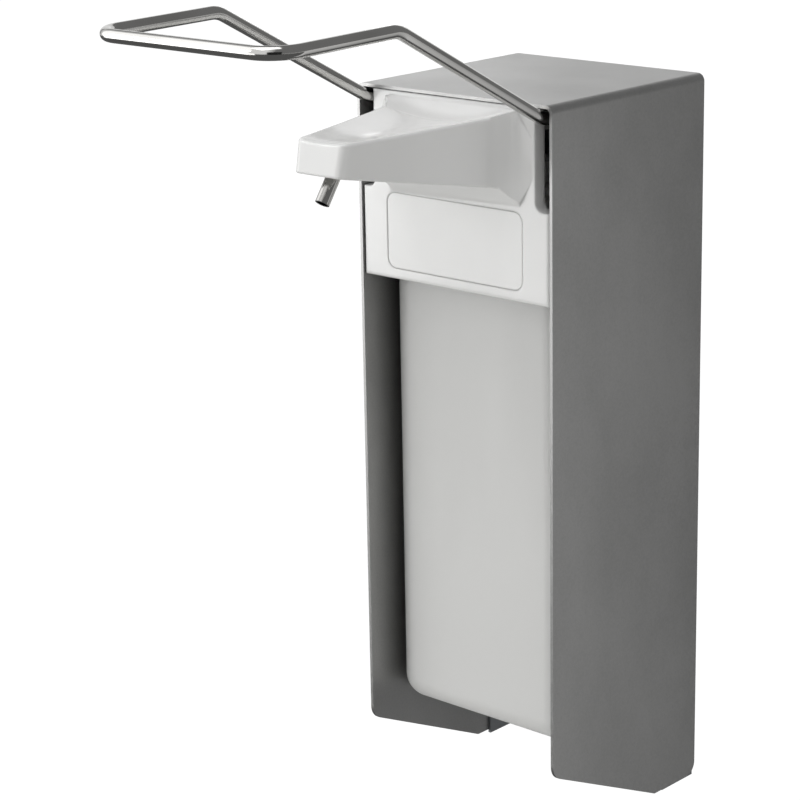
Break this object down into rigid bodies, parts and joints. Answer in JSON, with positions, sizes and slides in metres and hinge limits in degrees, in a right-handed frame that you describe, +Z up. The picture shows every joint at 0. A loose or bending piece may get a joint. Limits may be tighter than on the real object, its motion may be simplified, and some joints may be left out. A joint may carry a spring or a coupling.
{
  "type": "wall soap dispenser",
  "caption": "Wall soap dispenser with a folded sheet-metal housing, a bent rod elbow lever over a moulded nose with a slanting spout, and a pull-out bottle with a plunger pump.",
  "frame": {"origin": "centre of the four wall screw holes, on the rear face of the back plate", "axes": "+Z up, -Y towards the user out of the wall, +X to the right seen from the front"},
  "size_m": [0.092, 0.2219, 0.3183],
  "materials": {
    "anodised_housing": "satin anodised",
    "galvanised_steel": "matt galvanised",
    "screw_steel": "zinc plated",
    "grey_nylon": "moulded matt",
    "bearing_plastic": "moulded matt",
    "polished_stainless": "polished stainless steel",
    "white_abs": "moulded gloss white",
    "label_white": "satin white",
    "pump_plastic": "natural white",
    "seal_rubber": "matt",
    "spring_steel": "bright drawn",
    "tube_plastic": "translucent",
    "cap_plastic": "moulded matt",
    "bottle_hdpe": "milky translucent, blow moulded",
    "spout_steel": "drawn stainless steel"
  },
  "bodies": {
    "housing": {"housing_shell": "anodised_housing", "back_plate": "galvanised_steel", "bottle_shelf": "galvanised_steel", "shelf_rivets": "screw_steel", "pump_carrier": "grey_nylon", "carrier_screws": "screw_steel", "pivot_bushes": "bearing_plastic"},
    "lever": {"lever_rod": "polished_stainless", "lever_rocker": "grey_nylon", "rocker_set_screws": "screw_steel", "press_pad": "bearing_plastic"},
    "refill": {"front_cover": "white_abs", "label_insert": "label_white", "cover_screws": "screw_steel", "pump_body": "pump_plastic", "gland_nut": "pump_plastic", "gland_seal": "seal_rubber", "inlet_valve_seat": "pump_plastic", "suction_tube": "tube_plastic", "suction_strainer": "pump_plastic", "neck_cap": "cap_plastic", "neck_gasket": "seal_rubber", "bottle": "bottle_hdpe", "outlet_tube": "spout_steel", "outlet_seal": "seal_rubber", "return_spring": "spring_steel"},
    "plunger": {"plunger_head": "pump_plastic", "plunger_rod": "polished_stainless", "piston": "pump_plastic", "piston_ring": "seal_rubber"},
    "inlet_valve": {"inlet_ball": "spring_steel"},
    "outlet_valve": {"outlet_ball": "spring_steel"}
  },
  "joints": [
    {"name": "lever_press", "type": "hinge", "parent": "housing", "child": "lever", "pos_m": [0, -0.014, 0.1165], "axis": [1, 0, 0], "range_deg": [0, 22], "stiffness_Nm_per_rad": 0.6, "springref_deg": -20.05},
    {"name": "refill_slide", "type": "slide", "parent": "housing", "child": "refill", "axis": [0, -1, 0], "range_m": [0, 0.04]},
    {"name": "plunger_stroke", "type": "slide", "parent": "refill", "child": "plunger", "axis": [0, 0, -1], "range_m": [0, 0.01134], "deforming": ["return_spring"]},
    {"name": "inlet_ball_lift", "type": "slide", "parent": "refill", "child": "inlet_valve", "axis": [0, 0, 1], "range_m": [0, 0.0008]},
    {"name": "outlet_ball_lift", "type": "slide", "parent": "refill", "child": "outlet_valve", "axis": [0, 0, 1], "range_m": [0, 0.0015]}
  ],
  "couplings": [
    {"joint": "plunger_stroke", "follows": "lever_press", "m_per_rad": 0.029268}
  ]
}
